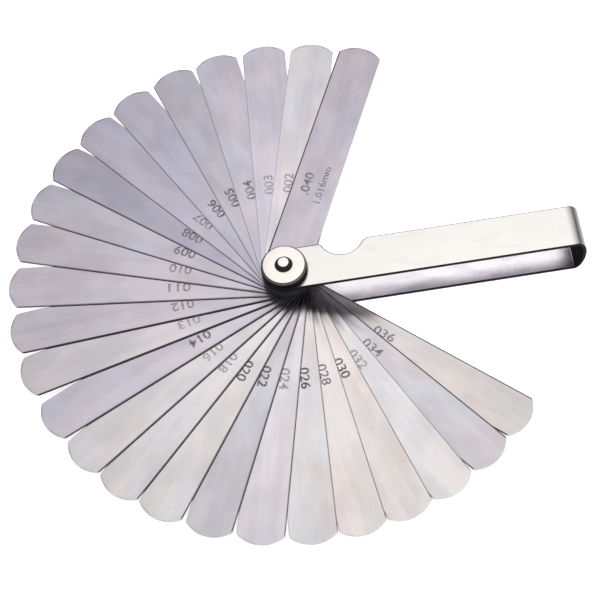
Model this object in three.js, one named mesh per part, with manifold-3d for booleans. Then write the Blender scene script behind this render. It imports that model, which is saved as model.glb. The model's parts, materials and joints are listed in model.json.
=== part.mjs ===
// Feeler gauge: twenty-five spring-steel blades that turn on one pivot in a folded steel case.
//
// Millimetres, +Z up. The origin is on the pivot axis, in the plane that the gauge lies on.
// +X runs along the case from the pivot to the closed end, and +Z along the pivot to the lock nut.

import * as THREE from 'three';
import { mergeVertices } from 'three/addons/utils/BufferGeometryUtils.js';
import Module from 'manifold-3d';

const wasm = await Module();
wasm.setup();

// ---- Driving dimensions ----------------------------------------------------------------------

const INCH = 25.4;

// Blades: thickness in thousandths of an inch, and where each one rests, in degrees from the case.
// The first is the uppermost, the last lies on the lower cheek.
const BLADES = [
  { thou: 40, fanned: 65.5 },
  { thou: 2, fanned: 76.5 },
  { thou: 3, fanned: 87.5 },
  { thou: 4, fanned: 98.5 },
  { thou: 5, fanned: 109 },
  { thou: 6, fanned: 120 },
  { thou: 7, fanned: 130.5 },
  { thou: 8, fanned: 141 },
  { thou: 9, fanned: 151.5 },
  { thou: 10, fanned: 162 },
  { thou: 11, fanned: 173 },
  { thou: 12, fanned: 184 },
  { thou: 13, fanned: 194.5 },
  { thou: 14, fanned: 206 },
  { thou: 16, fanned: 216.5 },
  { thou: 18, fanned: 226.5 },
  { thou: 20, fanned: 236.5 },
  { thou: 22, fanned: 247 },
  { thou: 24, fanned: 257.5 },
  { thou: 26, fanned: 268 },
  { thou: 28, fanned: 278 },
  { thou: 30, fanned: 288 },
  { thou: 32, fanned: 298 },
  { thou: 34, fanned: 308.5 },
  { thou: 36, fanned: 319 },
];
const WIDTH = 12.7; // the blades, the case and the spacer block are all this wide
const BLADE_REACH = 77.8; // pivot axis to the tip
const TIP_RADIUS = 8.9; // the shallow arc across the tip
const TIP_CORNER_RADIUS = 0.8;
const BLADE_GAP = 0.02; // play between neighbours in the stack
const BLADE_HOLE_CLEARANCE = 0.1;

// Case: one strap folded round the closed end.
const SHEET = 1.0;
const FOLD_DEPTH = 3.2; // how far the fold's easy lower bend runs along X
const FOLD_TOP_DEPTH = 2.8; // the tighter upper bend
const FOLD_TOP_SHARE = 0.4; // share of the case's height that the upper bend takes
const NOTCH_AT = 16.8; // thumb notch: its middle, along X from the pivot axis
const NOTCH_RADIUS = 6.2;
const NOTCH_DEPTH = 4.25;
const NOTCH_LIP_NEAR_PIVOT = 1.2; // lip fillets
const NOTCH_LIP_FAR = 3.0;
const CASE_HOLE_CLEARANCE = 0.1;

// Spacer block in the fold, just past the tips of the folded blades.
const TIP_CLEARANCE = 2.55;
const BLOCK_LENGTH = 2.0;
const BLOCK_CLEARANCE = 0.05;

// Pivot stud: flush head in the lower cheek, plain end standing out of the nut.
const STUD_RADIUS = 2.4;
const STUD_HEAD_SPREAD = 1.25; // how much wider the head's face is than the shank, all round
const STUD_HEAD_CLEARANCE = 0.05;
const STUD_STANDOUT = 1.35; // above the nut
const STUD_END_CHAMFER = 0.85;
const STUD_END_CHAMFER_HEIGHT = 1.1;

// Lock nut: round, with a straight knurl.
const NUT_RADIUS = 6.4;
const NUT_HEIGHT = 2.75;
const NUT_TOP_CHAMFER = 0.7;
const NUT_FOOT_CHAMFER = 0.3;
const NUT_GAP = 0.03; // over the upper cheek
const NUT_BORE_CLEARANCE = 0.06;
const KNURL_TEETH = 48;
const KNURL_DEPTH = 0.22;

// Facets
const ROUND_STEPS = 48;
const HOLE_STEPS = 32;
const BLADE_END_STEPS = 18;
const TIP_STEPS = 10;
const CORNER_STEPS = 3;
const FOLD_STEPS = 24;
const NOTCH_STEPS = 14;
const LIP_STEPS = 6;

// ---- What follows from them --------------------------------------------------------------------

const thickness = (blade) => blade.thou * 0.001 * INCH;
const stackHeight = BLADES.reduce((sum, blade) => sum + thickness(blade) + BLADE_GAP, BLADE_GAP);
const caseHeight = stackHeight + 2 * SHEET;
const caseReach = BLADE_REACH + TIP_CLEARANCE + BLOCK_LENGTH + BLOCK_CLEARANCE + SHEET;
const foldMiddle = caseHeight * (1 - FOLD_TOP_SHARE);
const headRadius = STUD_RADIUS + STUD_HEAD_SPREAD;
const nutFoot = caseHeight + NUT_GAP;
const nutTop = nutFoot + NUT_HEIGHT;

// ---- Colours -------------------------------------------------------------------------------------

const bladeSteel = { color: 0xbdbbc4, roughness: 0.35, metalness: 1.0 };
const caseSteel = { color: 0xe4e2dd, roughness: 0.3, metalness: 1.0 };
const nutSteel = { color: 0xdedad4, roughness: 0.28, metalness: 1.0 };
const blockSteel = { color: 0x55545a, roughness: 0.5, metalness: 1.0 };

// ---- Geometry helpers ------------------------------------------------------------------------------

/** Points on a circular or oval arc, ends included. */
function arcPoints(centreX, centreY, radiusX, radiusY, from, to, steps) {
  const points = [];
  for (let step = 0; step <= steps; step += 1) {
    const angle = from + ((to - from) * step) / steps;
    points.push(new THREE.Vector2(centreX + radiusX * Math.cos(angle), centreY + radiusY * Math.sin(angle)));
  }
  return points;
}

/** A full circle as a closed path. */
function circlePath(radius, steps) {
  const points = arcPoints(0, 0, radius, radius, 0, 2 * Math.PI, steps);
  points.pop();
  return new THREE.Path(points);
}

/** A flat outline given a thickness, from z = 0 up. */
function plate(shape, depth) {
  return new THREE.ExtrudeGeometry(shape, { depth, bevelEnabled: false });
}

/** A round body about the Z axis, from [radius, height] pairs listed from the bottom up. */
function turned(profile, steps) {
  const points = profile.map(([radius, height]) => new THREE.Vector2(radius, height));
  return new THREE.LatheGeometry(points, steps).rotateX(Math.PI / 2);
}

/** A closed three.js geometry as a solid for joining and cutting. */
function toSolid(geometry) {
  const bare = geometry.clone();
  bare.deleteAttribute('normal');
  bare.deleteAttribute('uv');
  const merged = mergeVertices(bare, 1e-4);
  return new wasm.Manifold(new wasm.Mesh({
    numProp: 3,
    vertProperties: new Float32Array(merged.attributes.position.array),
    triVerts: new Uint32Array(merged.index.array),
  }));
}

/** A solid back as a three.js geometry. */
function toGeometry(solid) {
  const mesh = solid.getMesh();
  const geometry = new THREE.BufferGeometry();
  geometry.setAttribute('position', new THREE.BufferAttribute(mesh.vertProperties, 3));
  geometry.setIndex(new THREE.BufferAttribute(mesh.triVerts, 1));
  return geometry;
}

/** A named mesh with a material of its own. */
function piece(name, geometry, finish) {
  const mesh = new THREE.Mesh(geometry, new THREE.MeshStandardMaterial(finish));
  mesh.name = name;
  return mesh;
}

// ---- Blades ----------------------------------------------------------------------------------------

/** Blade outline along +X: round pivot end, straight sides and a shallow arc across the tip. */
function bladeShape() {
  const half = WIDTH / 2;
  const tipCentre = BLADE_REACH - TIP_RADIUS;
  const cornerY = half - TIP_CORNER_RADIUS;
  const cornerReach = Math.sqrt((TIP_RADIUS - TIP_CORNER_RADIUS) ** 2 - cornerY ** 2);
  const cornerX = tipCentre + cornerReach;
  const turn = Math.atan2(cornerY, cornerReach);
  const corner = TIP_CORNER_RADIUS;
  const shape = new THREE.Shape([
    ...arcPoints(0, 0, half, half, Math.PI / 2, (3 * Math.PI) / 2, BLADE_END_STEPS),
    ...arcPoints(cornerX, -cornerY, corner, corner, -Math.PI / 2, -turn, CORNER_STEPS),
    ...arcPoints(tipCentre, 0, TIP_RADIUS, TIP_RADIUS, -turn, turn, TIP_STEPS).slice(1, -1),
    ...arcPoints(cornerX, cornerY, corner, corner, turn, Math.PI / 2, CORNER_STEPS),
  ]);
  shape.holes.push(circlePath(STUD_RADIUS + BLADE_HOLE_CLEARANCE, HOLE_STEPS));
  return shape;
}

/** All the blades, stacked upwards from the lower cheek, each turned to where it rests. */
function makeBlades() {
  const shape = bladeShape();
  let height = SHEET + BLADE_GAP;
  return [...BLADES].reverse().map((blade) => {
    const name = `blade_${String(blade.thou).padStart(3, '0')}`;
    const mesh = piece(name, plate(shape, thickness(blade)), bladeSteel);
    mesh.position.z = height;
    mesh.rotation.z = THREE.MathUtils.degToRad(blade.fanned);
    height += thickness(blade) + BLADE_GAP;
    return mesh;
  });
}

// ---- Case --------------------------------------------------------------------------------------------

/** The fold's two quarter ovals in the XZ plane, set in from the outside by a margin, lower end first. */
function foldCurve(inset, lowestAngle) {
  const bend = (depth, height, from, to) => arcPoints(
    caseReach - depth, foldMiddle, depth - inset, height - inset, from, to, FOLD_STEPS / 2,
  );
  const lower = bend(FOLD_DEPTH, foldMiddle, lowestAngle, 0);
  const upper = bend(FOLD_TOP_DEPTH, caseHeight - foldMiddle, 0, Math.PI / 2);
  return [...lower, ...upper.slice(1)];
}

/** A side view drawn in XY, given the case's width and stood up into the XZ plane. */
function standUp(shape) {
  return plate(shape, WIDTH).rotateX(Math.PI / 2).translate(0, WIDTH / 2, 0);
}

/** Strap seen from the side: two cheeks and the fold that joins them. */
function strap() {
  const pivotEnd = -WIDTH / 2;
  const shape = new THREE.Shape([
    new THREE.Vector2(pivotEnd, 0),
    ...foldCurve(0, -Math.PI / 2),
    new THREE.Vector2(pivotEnd, caseHeight),
    new THREE.Vector2(pivotEnd, caseHeight - SHEET),
    ...foldCurve(SHEET, -Math.PI / 2).reverse(),
    new THREE.Vector2(pivotEnd, SHEET),
  ]);
  return standUp(shape);
}

/** Where a lip fillet of the notch touches the case's edge and the notch, on one side of it. */
function notchLip(side, radius) {
  const edge = WIDTH / 2;
  const notchY = edge - NOTCH_DEPTH + NOTCH_RADIUS;
  const lipY = edge - radius;
  const reach = Math.sqrt((NOTCH_RADIUS + radius) ** 2 - (notchY - lipY) ** 2);
  return { x: NOTCH_AT + side * reach, y: lipY, radius, slope: Math.atan2(notchY - lipY, reach) };
}

/** Case outline seen from above: round pivot end, and the thumb notch in the +Y edge. */
function caseOutline() {
  const half = WIDTH / 2;
  const notchY = half - NOTCH_DEPTH + NOTCH_RADIUS;
  const far = notchLip(1, NOTCH_LIP_FAR);
  const near = notchLip(-1, NOTCH_LIP_NEAR_PIVOT);
  const shape = new THREE.Shape([
    ...arcPoints(0, 0, half, half, Math.PI / 2, (3 * Math.PI) / 2, BLADE_END_STEPS),
    new THREE.Vector2(caseReach, -half),
    new THREE.Vector2(caseReach, half),
    ...arcPoints(far.x, far.y, far.radius, far.radius, Math.PI / 2, Math.PI - far.slope, LIP_STEPS),
    ...arcPoints(
      NOTCH_AT, notchY, NOTCH_RADIUS, NOTCH_RADIUS, -far.slope, -Math.PI + near.slope, NOTCH_STEPS,
    ).slice(1, -1),
    ...arcPoints(near.x, near.y, near.radius, near.radius, near.slope, Math.PI / 2, LIP_STEPS),
  ]);
  return plate(shape, caseHeight);
}

/** What the stud's hole takes out: the countersink in the lower cheek and the upper cheek's hole. */
function caseHoles() {
  const hole = STUD_RADIUS + CASE_HOLE_CLEARANCE;
  return turned([
    [0, 0],
    [headRadius + STUD_HEAD_CLEARANCE, 0],
    [STUD_RADIUS + STUD_HEAD_CLEARANCE, SHEET],
    [hole, SHEET],
    [hole, caseHeight],
    [0, caseHeight],
  ], ROUND_STEPS);
}

function makeCase() {
  const body = toSolid(strap()).intersect(toSolid(caseOutline())).subtract(toSolid(caseHoles()));
  return piece('case', toGeometry(body), caseSteel);
}

/** Spacer block that fills the fold and keeps the cheeks apart, as wide as the case. */
function makeEndBlock() {
  const inset = SHEET + BLOCK_CLEARANCE;
  const lowestAngle = -Math.acos(1 - BLOCK_LENGTH / (FOLD_DEPTH - inset));
  const front = new THREE.Vector2(caseReach - inset - BLOCK_LENGTH, caseHeight - inset);
  const shape = new THREE.Shape([...foldCurve(inset, lowestAngle), front]);
  return piece('end_block', standUp(shape), blockSteel);
}

// ---- Pivot -------------------------------------------------------------------------------------------

function makePivotStud() {
  const top = nutTop + STUD_STANDOUT;
  const body = turned([
    [0, 0],
    [headRadius, 0],
    [STUD_RADIUS, SHEET],
    [STUD_RADIUS, top - STUD_END_CHAMFER_HEIGHT],
    [STUD_RADIUS - STUD_END_CHAMFER, top],
    [0, top],
  ], ROUND_STEPS);
  return piece('pivot_stud', body, nutSteel);
}

/** Saw-toothed disc that gives the nut its straight knurl. */
function knurledDisc() {
  const points = [];
  for (let step = 0; step < 2 * KNURL_TEETH; step += 1) {
    const radius = step % 2 === 0 ? NUT_RADIUS : NUT_RADIUS - KNURL_DEPTH;
    const angle = (step * Math.PI) / KNURL_TEETH;
    points.push(new THREE.Vector2(radius * Math.cos(angle), radius * Math.sin(angle)));
  }
  return plate(new THREE.Shape(points), NUT_HEIGHT);
}

function makeLockNut() {
  const bore = STUD_RADIUS + NUT_BORE_CLEARANCE;
  const envelope = turned([
    [bore, 0],
    [NUT_RADIUS - NUT_FOOT_CHAMFER, 0],
    [NUT_RADIUS, NUT_FOOT_CHAMFER],
    [NUT_RADIUS, NUT_HEIGHT - NUT_TOP_CHAMFER],
    [NUT_RADIUS - NUT_TOP_CHAMFER, NUT_HEIGHT],
    [bore, NUT_HEIGHT],
    [bore, 0],
  ], ROUND_STEPS);
  const body = toSolid(knurledDisc()).intersect(toSolid(envelope));
  const mesh = piece('lock_nut', toGeometry(body), nutSteel);
  mesh.position.z = nutFoot;
  return mesh;
}

// ---- Assembly ------------------------------------------------------------------------------------------

const feelerGauge = new THREE.Group();
feelerGauge.add(makeCase(), makeEndBlock(), makePivotStud(), makeLockNut(), ...makeBlades());

export default feelerGauge;
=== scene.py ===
"""Feeler gauge: ground steel blades on one pivot, in a folded strap case with a lock nut."""

import json
import logging
import math
import random
from collections.abc import Callable
from dataclasses import dataclass, field
from enum import Enum, IntEnum
from functools import reduce

import bmesh
import bpy
from bmesh.types import BMesh, BMVert
from bpy.types import Material, Mesh, Node, NodeSocket, NodeTree, Object, World
from mathutils import Matrix, Vector
from mathutils.geometry import delaunay_2d_cdt


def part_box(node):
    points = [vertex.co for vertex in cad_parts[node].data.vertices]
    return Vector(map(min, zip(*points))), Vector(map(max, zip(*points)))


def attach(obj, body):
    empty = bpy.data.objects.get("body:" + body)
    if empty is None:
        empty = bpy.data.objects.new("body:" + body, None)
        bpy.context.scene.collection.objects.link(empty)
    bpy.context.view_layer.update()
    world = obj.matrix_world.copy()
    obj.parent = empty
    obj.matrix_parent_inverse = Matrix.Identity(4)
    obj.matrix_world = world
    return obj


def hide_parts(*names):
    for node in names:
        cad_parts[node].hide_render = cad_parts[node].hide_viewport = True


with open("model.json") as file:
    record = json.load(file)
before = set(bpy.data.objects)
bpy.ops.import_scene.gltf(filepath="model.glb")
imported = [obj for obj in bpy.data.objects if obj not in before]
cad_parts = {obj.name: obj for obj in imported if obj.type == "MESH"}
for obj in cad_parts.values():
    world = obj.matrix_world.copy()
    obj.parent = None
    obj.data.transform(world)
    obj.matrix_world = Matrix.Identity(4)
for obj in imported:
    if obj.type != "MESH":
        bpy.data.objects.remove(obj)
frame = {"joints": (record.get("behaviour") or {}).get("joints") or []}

Point = tuple[float, float]
Colour = tuple[float, float, float]
Value = NodeSocket | float
Paint = NodeSocket | Colour
Ring = list[BMVert]

MM = 0.001
INCH = 25.4
FULL_TURN = 2 * math.pi
QUARTER_TURN = math.pi / 2

# Shaping: how far a sharp corner may move when a line is set in, and how near two points are one.
SHARPEST_CORNER = 0.35
SAME_SPOT = 1e-7
# The knurl's groove, the rounding of turned corners, and how strongly large flats rule shading.
GROOVE_SLOPE = 1.25
GROOVE_CURVE = 0.9
CORNER_SHARES = (0.0, 0.35, 0.65, 1.0)
CORNER_REACH = 0.45
FLAT_WEIGHT = 50
# Share of the floor's width that its middle square takes.
INNER_FLOOR = 0.2
# Most of a noise lies between these.
USUAL = (0.3, 0.7)
# Painted shade: the colour round the pivot on the lower blades, and the one round the nut's foot
# on the strap.
PIVOT_SHADE_COLOUR = (0.028, 0.026, 0.038)
NUT_FOOT_SHADE_COLOUR = (0.015, 0.014, 0.018)

log = logging.getLogger("feeler_gauge")


class Slot(Enum):
    """The record's material slots."""

    BLADE = "blade_steel"
    CASE = "case_steel"
    NUT = "nut_steel"
    BLOCK = "block_steel"


class Skin(IntEnum):
    """Which finish a face of a plate or a turned piece takes."""

    FACE = 0
    RIM = 1
    WALL = 2
    INNER = 3


Profile = list[tuple[float, float, Skin]]


class Tint(Enum):
    """The faint colour that a blade's ground face shows."""

    VIOLET = (0.965, 0.93, 1.105)
    LAVENDER = (0.98, 0.95, 1.07)
    MAUVE = (1.005, 0.945, 1.05)
    PEARL = (1.0, 0.975, 1.025)
    PLAIN = (1.01, 0.99, 1.0)
    CREAM = (1.045, 0.99, 0.965)


class Etch(Enum):
    """How well a blade's figures were etched: colour where it took, and where it hardly did."""

    DEEP = ((0.08, 0.073, 0.085), (0.30, 0.28, 0.31))
    FAIR = ((0.15, 0.14, 0.155), (0.38, 0.36, 0.39))
    FAINT = ((0.30, 0.285, 0.305), (0.46, 0.44, 0.465))


# ---- Meshes ------------------------------------------------------------------------------------


def arc(centre: Point, radius: float, start: float, end: float, steps: int) -> list[Point]:
    """Points along a round arc, both ends included.

    Args:
        centre: Middle of the arc.
        radius: Its radius.
        start: Angle of the first point, in radians.
        end: Angle of the last point, in radians.
        steps: How many straight runs make up the arc.

    Returns:
        The points, from start to end.
    """
    turns = [start + (end - start) * step / steps for step in range(steps + 1)]
    return [(centre[0] + radius * math.cos(a), centre[1] + radius * math.sin(a)) for a in turns]


def set_in(points: list[Point], distance: float) -> list[Point]:
    """Moves a closed line sideways, to the left of its run.

    Args:
        points: The closed line.
        distance: How far it moves.

    Returns:
        The moved line, with as many points.
    """
    moved = []
    for before, here, after in zip(points[-1:] + points[:-1], points, points[1:] + points[:1]):
        first = Vector(here) - Vector(before)
        second = Vector(after) - Vector(here)
        left = Vector((-first.y, first.x)).normalized()
        bisector = (left + Vector((-second.y, second.x)).normalized()).normalized()
        reach = distance / max(SHARPEST_CORNER, bisector.dot(left))
        moved.append((here[0] + bisector.x * reach, here[1] + bisector.y * reach))
    return moved


def inside(point: Point, lines: list[list[Point]]) -> bool:
    """Tells whether a point lies in the material between closed lines.

    Args:
        point: The point.
        lines: The outside line and the holes.

    Returns:
        True if the point is in the material.
    """
    crossings = 0
    for line in lines:
        for (x0, y0), (x1, y1) in zip(line, line[1:] + line[:1]):
            if (y0 > point[1]) != (y1 > point[1]):
                crossings += point[0] < x0 + (point[1] - y0) * (x1 - x0) / (y1 - y0)
    return crossings % 2 == 1


def band(bm: BMesh, low: Ring, high: Ring, skin: int = Skin.FACE) -> None:
    """Joins two rings of corners with a band of faces.

    Args:
        bm: The mesh being built.
        low: The lower ring, or the one point that it shrinks to.
        high: The upper ring, or the one point that it shrinks to.
        skin: The finish of the band.
    """
    for i in range(max(len(low), len(high))):
        j = i + 1
        spots = (low[i % len(low)], low[j % len(low)], high[j % len(high)], high[i % len(high)])
        bm.faces.new(tuple(dict.fromkeys(spots))).material_index = skin


@dataclass
class Cut:
    """One closed line of a plate, the material on its left.

    Attributes:
        points: The line.
        flare: How much further the line lies from the material's middle at the low face.
    """

    points: list[Point]
    flare: float = 0.0


@dataclass
class Plate:
    """A flat plate with rolled edges and holes, which may be bent afterwards.

    Attributes:
        cuts: The outside line first, then the holes.
        thickness: The plate's thickness.
        rim: Radius of its rolled edges.
        ribs: Pairs of points on the outside line that a straight edge joins across each face.
        high_skin: The finish of the high face.
    """

    cuts: list[Cut]
    thickness: float
    rim: float
    ribs: list[tuple[int, int]] = field(default_factory=list)
    high_skin: Skin = Skin.FACE
    rim_steps: int = 3

    def levels(self) -> list[Point]:
        """Heights through the plate, each with how far the edge is set in there.

        Returns:
            Pairs of height and inset, from the low face up.
        """
        turns = [QUARTER_TURN * step / self.rim_steps for step in range(self.rim_steps + 1)]
        low = [(self.rim * (1 - math.cos(a)), self.rim * (1 - math.sin(a))) for a in turns]
        high = [(self.thickness - height, inset) for height, inset in reversed(low)]
        return low + high

    def lines_at(self, height: float, inset: float) -> list[list[Point]]:
        """The closed lines at one height, where the edge is set in so far."""
        rise = height / self.thickness
        return [set_in(cut.points, inset + cut.flare * (1 - rise)) for cut in self.cuts]

    def cap(self, bm: BMesh, lines: list[list[Point]], rings: list[Ring], up: bool) -> None:
        """Fills one face of the plate.

        Args:
            bm: The mesh being built.
            lines: The closed lines at that face.
            rings: The corners on each of them.
            up: True for the high face.
        """
        corners = [corner for ring in rings for corner in ring]
        places = [Vector(point) for line in lines for point in line]
        edges, first = list(self.ribs), 0
        for line in lines:
            count = len(line)
            edges += [(first + i, first + (i + 1) % count) for i in range(count)]
            first += count
        made = delaunay_2d_cdt(places, edges, [], 0, SAME_SPOT)
        for face in made[2]:
            middle = sum((made[0][i] for i in face), Vector((0, 0))) / len(face)
            if not inside((middle.x, middle.y), lines):
                continue
            around = [corners[made[3][i][0]] for i in face]
            filled = bm.faces.new(around if up else reversed(around))
            filled.material_index = self.high_skin if up else Skin.FACE

    def mesh(self, name: str, place: Callable[[float, float, float], Vector]) -> Mesh:
        """Builds the plate.

        Args:
            name: The mesh's name.
            place: Where a point of the flat plate goes, in millimetres.

        Returns:
            The mesh, in metres.
        """
        bm = bmesh.new()
        stages = []
        for height, inset in self.levels():
            lines = self.lines_at(height, inset)
            rings = [[bm.verts.new(place(x, y, height) * MM) for x, y in line] for line in lines]
            stages.append((lines, rings))
        self.cap(bm, *stages[0], up=False)
        self.cap(bm, *stages[-1], up=True)
        for step, (below, above) in enumerate(zip(stages, stages[1:])):
            skin = Skin.WALL if step == self.rim_steps else Skin.RIM
            for low, high in zip(below[1], above[1]):
                band(bm, low, high, skin)
        return finished_mesh(bm, name)


@dataclass
class Turned:
    """A piece turned in the lathe, with a knurl if it has one.

    Attributes:
        profile: Radius, height and skin of the run that starts there, from the bottom up.
        steps: Corners round the piece.
        teeth: How many ridges the knurl has, or none.
        knurl_depth: Depth of its grooves.
        closed: True if the profile comes back to its start, as round a bore.
    """

    profile: Profile
    steps: int
    teeth: int = 0
    knurl_depth: float = 0.0
    closed: bool = False

    def crest(self, angle: float) -> float:
        """How far out the knurl's surface lies at an angle, from the piece's widest."""
        wave = abs(((angle * self.teeth / FULL_TURN) % 1.0) * 2 - 1)
        return -self.knurl_depth * (1 - min(1.0, GROOVE_SLOPE * wave)) ** GROOVE_CURVE

    def mesh(self, name: str) -> Mesh:
        """Builds the turned piece.

        Args:
            name: The mesh's name.

        Returns:
            The mesh, in metres.
        """
        bm = bmesh.new()
        widest = max(radius for radius, _, _ in self.profile)
        angles = [FULL_TURN * step / self.steps for step in range(self.steps)]
        rings = []
        for radius, height, _ in self.profile:
            if radius < SAME_SPOT:
                rings.append([bm.verts.new(Vector((0, 0, height)) * MM)])
                continue
            ring = []
            for angle in angles:
                out = min(radius, widest + self.crest(angle))
                spot = Vector((out * math.cos(angle), out * math.sin(angle), height))
                ring.append(bm.verts.new(spot * MM))
            rings.append(ring)
        runs = list(zip(rings, rings[1:], self.profile))
        if self.closed:
            runs.append((rings[-1], rings[0], self.profile[-1]))
        for low, high, (_, _, skin) in runs:
            band(bm, low, high, skin)
        return finished_mesh(bm, name)


def finished_mesh(bm: BMesh, name: str, smooth: bool = True) -> Mesh:
    """Closes a mesh under construction.

    Args:
        bm: The mesh under construction, which is freed.
        name: The new mesh's name.
        smooth: True if its faces are to be turned outwards and shaded smooth.

    Returns:
        The mesh.
    """
    if smooth:
        bmesh.ops.recalc_face_normals(bm, faces=bm.faces[:])
    for face in bm.faces:
        face.smooth = smooth
    made = bpy.data.meshes.new(name)
    bm.to_mesh(made)
    bm.free()
    return made


def linked(name: str, data: bpy.types.ID) -> Object:
    """Makes an object and links it to the scene.

    Args:
        name: Its name.
        data: Its mesh, figures, lamp or camera.

    Returns:
        The object.
    """
    made = bpy.data.objects.new(name, data)
    bpy.context.scene.collection.objects.link(made)
    return made


def new_piece(name: str, mesh: Mesh, finishes: list[Material]) -> Object:
    """Makes an object of a mesh, with crisp shading where flats meet their rolled edges.

    Args:
        name: The piece's name.
        mesh: Its mesh.
        finishes: Its materials, in the order of Skin.

    Returns:
        The object, linked to the scene.
    """
    made = linked(name, mesh)
    for finish in finishes:
        mesh.materials.append(finish)
    weighted = made.modifiers.new("flats", "WEIGHTED_NORMAL")
    weighted.mode = "FACE_AREA"
    weighted.weight = FLAT_WEIGHT
    return made


# ---- Finishes ----------------------------------------------------------------------------------


class Bench:
    """Places and joins the nodes of one shader tree."""

    def __init__(self, tree: NodeTree) -> None:
        """Takes the tree to work on."""
        self.tree = tree

    def add(self, kind: str) -> Node:
        """Adds a node of a kind."""
        return self.tree.nodes.new(kind)

    def join(self, source: NodeSocket, target: NodeSocket) -> None:
        """Joins an output to an input."""
        self.tree.links.new(source, target)

    def feed(self, source: Value | Colour, target: NodeSocket) -> None:
        """Joins an output to an input, or sets the input to a plain value.

        Args:
            source: An output, a number or a colour.
            target: The input.
        """
        if isinstance(source, NodeSocket):
            self.join(source, target)
        elif isinstance(source, tuple):
            target.default_value = (*source, 1.0)
        else:
            target.default_value = source

    def spread(self, value: NodeSocket, *numbers: float) -> NodeSocket:
        """Maps a range of values onto another, smoothly, and holds it at the ends.

        Args:
            value: The value.
            numbers: The range's low and high ends, and what they become.

        Returns:
            The result.
        """
        node = self.add("ShaderNodeMapRange")
        node.interpolation_type = "SMOOTHSTEP"
        for socket, number in zip(("From Min", "From Max", "To Min", "To Max"), numbers):
            node.inputs[socket].default_value = number
        self.join(value, node.inputs["Value"])
        return node.outputs["Result"]

    def product(self, *factors: Value) -> NodeSocket:
        """All the values multiplied together."""
        return reduce(lambda first, second: self.maths("MULTIPLY", first, second), factors)

    def distance(self, first: NodeSocket, second: NodeSocket) -> NodeSocket:
        """How far off a point lies, from its two distances at right angles."""
        squares = [self.product(part, part) for part in (first, second)]
        return self.maths("SQRT", self.maths("ADD", *squares))

    def maths(self, operation: str, first: Value, second: Value = 0.0) -> NodeSocket:
        """One sum on values.

        Args:
            operation: The Math node's operation.
            first: First value.
            second: Second value.

        Returns:
            The result.
        """
        node = self.add("ShaderNodeMath")
        node.operation = operation
        self.feed(first, node.inputs[0])
        self.feed(second, node.inputs[1])
        return node.outputs[0]

    def mixed(self, share: Value, first: Paint, second: Paint, way: str = "MIX") -> NodeSocket:
        """Mixes two colours.

        Args:
            share: Share of the second.
            first: First colour.
            second: Second colour.
            way: The Mix node's blend type.

        Returns:
            The mix.
        """
        node = self.add("ShaderNodeMix")
        node.data_type = "RGBA"
        node.blend_type = way
        self.feed(share, node.inputs[0])
        self.feed(first, node.inputs[6])
        self.feed(second, node.inputs[7])
        return node.outputs[2]


class NodeBench(Bench):
    """Places and joins the shader nodes of one material."""

    def __init__(self, name: str) -> None:
        """Starts a material with one surface shader.

        Args:
            name: The material's name.
        """
        self.material = bpy.data.materials.new(name)
        self.material.use_nodes = True
        super().__init__(self.material.node_tree)
        self.shader = self.tree.nodes["Principled BSDF"]
        self.place = self.add("ShaderNodeTexCoord").outputs["Object"]

    def pattern(
        self, scale: Colour, seed: float, detail: float = 3.0, rough: float = 0.55
    ) -> NodeSocket:
        """Noise on the piece's own coordinates.

        Args:
            scale: Patches to the metre along each axis.
            seed: Which part of the pattern is used.
            detail: How many finer layers it has.
            rough: How strong they are.

        Returns:
            The noise.
        """
        node = self.add("ShaderNodeMapping")
        node.inputs["Location"].default_value = (seed * 3.1, seed * 7.7, seed * 1.9)
        node.inputs["Scale"].default_value = scale
        self.join(self.place, node.inputs["Vector"])
        return self.noise(node.outputs["Vector"], detail, rough)

    def noise(self, vector: NodeSocket, detail: float, rough: float) -> NodeSocket:
        """Soft irregular variation from 0 to 1.

        Args:
            vector: Coordinates, one unit to a patch.
            detail: How many finer layers it has.
            rough: How strong they are.

        Returns:
            The variation.
        """
        node = self.add("ShaderNodeTexNoise")
        node.inputs["Scale"].default_value = 1.0
        node.inputs["Detail"].default_value = detail
        node.inputs["Roughness"].default_value = rough
        self.join(vector, node.inputs["Vector"])
        return node.outputs[0]

    def parts(self) -> tuple[NodeSocket, ...]:
        """Splits the piece's own coordinates.

        Returns:
            X, Y and Z, in metres.
        """
        node = self.add("ShaderNodeSeparateXYZ")
        self.join(self.place, node.inputs[0])
        return tuple(node.outputs)

    def from_axis(self) -> NodeSocket:
        """Distance from the piece's own upright axis."""
        return self.distance(*self.parts()[:2])

    def relief(self, height: NodeSocket, depth: float, strength: float = 0.3) -> None:
        """Gives the surface a fine relief.

        Args:
            height: Height from 0 to 1.
            depth: What 1 stands for, in metres.
            strength: How strongly it shows.
        """
        node = self.add("ShaderNodeBump")
        node.inputs["Strength"].default_value = strength
        node.inputs["Distance"].default_value = depth
        self.join(height, node.inputs["Height"])
        self.join(node.outputs["Normal"], self.shader.inputs["Normal"])

    def surface(self, colour: Paint, roughness: Value, metallic: float = 1.0) -> Material:
        """Sets what the surface is made of.

        Args:
            colour: Its colour.
            roughness: Its roughness.
            metallic: 1 for bare metal, 0 for paper or paint.

        Returns:
            The finished material.
        """
        self.feed(colour, self.shader.inputs["Base Color"])
        self.feed(roughness, self.shader.inputs["Roughness"])
        self.shader.inputs["Metallic"].default_value = metallic
        return self.material


def shaded(colour: Colour, by: float) -> Colour:
    """A colour made darker or lighter by a factor."""
    return (min(1.0, colour[0] * by), min(1.0, colour[1] * by), min(1.0, colour[2] * by))


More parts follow.
